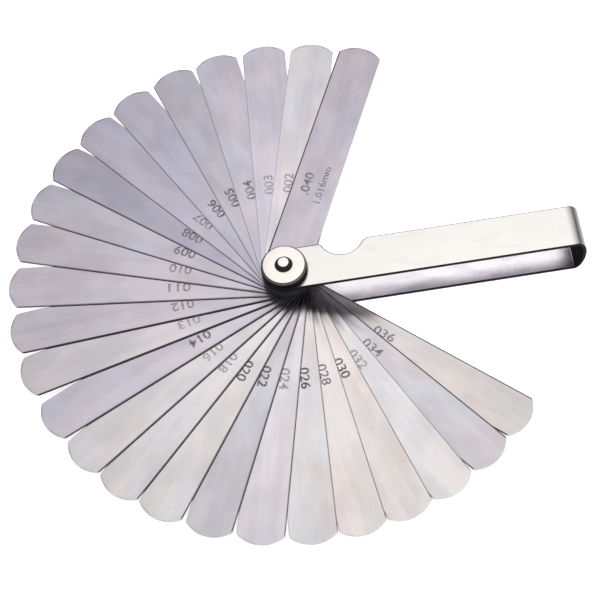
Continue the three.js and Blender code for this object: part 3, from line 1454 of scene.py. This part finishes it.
@dataclass
class BladeFan:
    """All the blades, each where its joint's range puts it."""

    looks: dict[int, tuple[Tint, float, float, Etch]] = field(
        default_factory=lambda: {
            40: (Tint.MAUVE, 0.825, 0.90, Etch.FAIR),
            2: (Tint.PEARL, 1.050, 0.25, Etch.FAINT),
            3: (Tint.LAVENDER, 0.960, 0.30, Etch.FAINT),
            4: (Tint.LAVENDER, 0.900, 0.35, Etch.FAIR),
            5: (Tint.LAVENDER, 0.800, 0.40, Etch.DEEP),
            6: (Tint.VIOLET, 0.780, 0.35, Etch.DEEP),
            7: (Tint.VIOLET, 0.790, 0.40, Etch.FAIR),
            8: (Tint.VIOLET, 0.700, 0.65, Etch.DEEP),
            9: (Tint.LAVENDER, 0.840, 0.60, Etch.DEEP),
            10: (Tint.MAUVE, 0.855, 0.70, Etch.FAIR),
            11: (Tint.MAUVE, 0.890, 0.70, Etch.FAIR),
            12: (Tint.MAUVE, 0.870, 0.95, Etch.FAIR),
            13: (Tint.PEARL, 0.965, 0.95, Etch.FAINT),
            14: (Tint.LAVENDER, 0.925, 0.80, Etch.DEEP),
            16: (Tint.PLAIN, 1.040, 0.70, Etch.FAINT),
            18: (Tint.PLAIN, 1.070, 0.70, Etch.FAINT),
            20: (Tint.PLAIN, 1.080, 0.65, Etch.DEEP),
            22: (Tint.PEARL, 0.920, 0.60, Etch.DEEP),
            24: (Tint.PEARL, 1.050, 0.50, Etch.FAINT),
            26: (Tint.PLAIN, 1.060, 0.50, Etch.DEEP),
            28: (Tint.CREAM, 1.110, 0.50, Etch.FAIR),
            30: (Tint.CREAM, 1.090, 0.50, Etch.DEEP),
            32: (Tint.PLAIN, 1.120, 0.45, Etch.FAINT),
            34: (Tint.PEARL, 0.935, 0.85, Etch.FAIR),
            36: (Tint.CREAM, 0.980, 0.85, Etch.FAIR),
        }
    )

    def build(self) -> list[Object]:
        """Builds and dresses every blade.

        Returns:
            The steel and the mark of each blade, in turn.
        """
        chance = random.Random(25)
        # Blade cut edges and broken corners are painted near black as shade, lightening towards
        # each tip.
        light, dark, worn = (0.58, 0.56, 0.59), (0.02, 0.018, 0.021), (0.10, 0.095, 0.105)
        grey, pale, silver = (0.05, 0.047, 0.053), (0.16, 0.155, 0.165), (0.46, 0.45, 0.46)
        cut = DarkSteel(dark, 0.45, 0.3, worn, 0.15, 0.05, (0.60, 0.585, 0.60))
        broken = DarkSteel(grey, 0.4, 0.5, pale, 0.5, 0.05, silver)
        steels = (cut.material("blade_cut_edge"), broken.material("blade_broken_corner"))
        # The top blade's edges keep the painted shade only near the pivot, and turn light further
        # out.
        lightened = DarkSteel(dark, 0.35, 0.3, worn, 0.4, 0.1, light, (0.011, 0.016))
        top_names = ("top_blade_cut_edge", "top_blade_broken_corner")
        top_steels = tuple(lightened.material(name) for name in top_names)
        marks = {etch: EtchedMark(etch).material(f"figures_{etch.name.lower()}") for etch in Etch}
        joints = [joint for joint in frame["joints"] if joint["child"].startswith("blade_")]
        heights = [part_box(joint["child"])[0].z / MM for joint in joints]
        stack = (min(heights), max(heights))
        made = []
        for joint, height in zip(joints, heights):
            body = joint["child"]
            look = self.looks.get(int(body[-3:]), (Tint.PLAIN, 1.0, 0.5, Etch.FAIR))
            fanned = math.radians(-joint["range_deg"][0])
            blade = Blade(body, fanned, *look, stack, chance.uniform(0.0, 40.0))
            edges = top_steels if height == stack[1] else steels
            made += [blade.build_steel(*edges), blade.build_mark(marks[blade.etch])]
        return made


# ---- The studio --------------------------------------------------------------------------------


@dataclass
class Studio:
    """Pale floor, soft light from above and behind, and the camera.

    Attributes:
        target: What the camera looks at.
        distance: How far off it stands.
        elevation: Its height above the floor, in degrees.
        azimuth: How far it stands to the side, in degrees.
        roll: How far it is rolled, in degrees.
        lens: Its focal length on a 36 mm sensor.
        floor_size: Width of the floor, in metres.
        floor_height: Height of the floor, just under the gauge, in metres.
        overhead: Brightness of the sky overhead.
        behind: Brightness of the low sky behind the gauge.
        before: Brightness of the low sky on the camera's side.
        leftward: How bright the sky to the left is beside the sky to the right.
    """

    target: Colour = (2.97, -6.22, 6.0)
    distance: float = 488.42
    elevation: float = 61.525
    azimuth: float = 0.327
    roll: float = -8.995
    lens: float = 105.52
    floor_size: float = 6.0
    floor_height: float = -0.00004
    overhead: float = 1.44
    behind: float = 0.62
    before: float = 0.5
    leftward: float = 0.7

    def build_camera(self) -> Object:
        """Sets up the camera.

        Returns:
            The camera.
        """
        rise, swing, roll = (math.radians(a) for a in (self.elevation, self.azimuth, self.roll))
        flat = math.cos(rise)
        back = Vector((math.sin(swing) * flat, -math.cos(swing) * flat, math.sin(rise)))
        level = Vector((math.cos(swing), math.sin(swing), 0.0))
        upward = back.cross(level)
        right = level * math.cos(roll) + upward * math.sin(roll)
        data = bpy.data.cameras.new("camera")
        data.lens = self.lens
        data.sensor_width = 36.0
        data.clip_start, data.clip_end = 0.02, 20.0
        camera = linked("camera", data)
        turned = Matrix((right, back.cross(right), back)).transposed().to_4x4()
        stand = (Vector(self.target) + back * self.distance) * MM
        camera.matrix_world = Matrix.Translation(stand) @ turned
        bpy.context.scene.camera = camera
        return camera

    def build_floor(self) -> Object:
        """Lays the pale floor just under the gauge.

        Returns:
            The floor.
        """
        bm = bmesh.new()
        rings = []
        for share in (INNER_FLOOR, 1.0):
            reach = self.floor_size / 2 * share
            corners = ((-reach, -reach), (reach, -reach), (reach, reach), (-reach, reach))
            rings.append([bm.verts.new((x, y, self.floor_height)) for x, y in corners])
        inner, outer = rings
        bm.faces.new(inner)
        band(bm, outer, inner)
        mesh = finished_mesh(bm, "floor", False)
        mesh.materials.append(WhitePaper().material("floor_paper"))
        floor = linked("floor", mesh)
        return floor

    def build_sky(self) -> World:
        """Surrounds the gauge with a soft sky, bright overhead and dim low down before it.

        Returns:
            The world.
        """
        world = bpy.data.worlds.new("sky")
        world.use_nodes = True
        world.node_tree.nodes.clear()
        bench = Bench(world.node_tree)
        parts = bench.add("ShaderNodeSeparateXYZ")
        bench.join(bench.add("ShaderNodeTexCoord").outputs["Generated"], parts.inputs[0])
        sideways, forwards, upwards = parts.outputs
        whole = bench.add("ShaderNodeMix")
        whole.data_type = "FLOAT"
        bench.join(bench.spread(upwards, 0.3, 1.0, 0.0, 1.0), whole.inputs[0])
        bench.join(bench.spread(forwards, -0.7, 0.9, self.before, self.behind), whole.inputs[2])
        whole.inputs[3].default_value = self.overhead
        leftward = bench.spread(sideways, -0.45, 0.15, self.leftward, 1.0)
        light = bench.add("ShaderNodeBackground")
        light.inputs["Color"].default_value = (1.0, 0.995, 0.985, 1.0)
        bench.join(bench.product(whole.outputs[0], leftward), light.inputs["Strength"])
        seen = bench.add("ShaderNodeBackground")
        seen.inputs["Color"].default_value = (0.95, 0.95, 0.95, 1.0)
        blend = bench.add("ShaderNodeMixShader")
        bench.join(bench.add("ShaderNodeLightPath").outputs["Is Camera Ray"], blend.inputs[0])
        bench.join(light.outputs[0], blend.inputs[1])
        bench.join(seen.outputs[0], blend.inputs[2])
        bench.join(blend.outputs[0], bench.add("ShaderNodeOutputWorld").inputs["Surface"])
        bpy.context.scene.world = world
        return world

    def build_lamp(self) -> Object:
        """Hangs a wide soft lamp over the gauge, which keeps the floor evenly pale.

        Returns:
            The lamp.
        """
        data = bpy.data.lights.new("softbox", "AREA")
        data.shape = "RECTANGLE"
        data.size, data.size_y = 0.7, 0.7
        data.energy = 4.5
        lamp = linked("softbox", data)
        lamp.location = (0.0, 0.0, 0.7)
        lamp.visible_glossy = False
        return lamp

    def build(self) -> None:
        """Sets up everything round the gauge."""
        self.build_camera()
        self.build_floor()
        self.build_sky()
        self.build_lamp()
        bpy.context.scene.view_settings.view_transform = "Standard"


def main() -> None:
    """Builds the gauge's assemblies in order."""
    logging.basicConfig(level=logging.INFO, format="%(name)s: %(message)s")
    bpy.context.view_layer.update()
    Studio().build()
    case = StrapCase()
    for assembly in (case, EndBlock(case=case), PivotStud(), LockNut(), BladeFan()):
        for piece in assembly.build():
            faces = len(piece.data.polygons)
            log.info("%s: %s, %d faces", type(assembly).__name__, piece.name, faces)


if __name__ == "__main__":
    main()
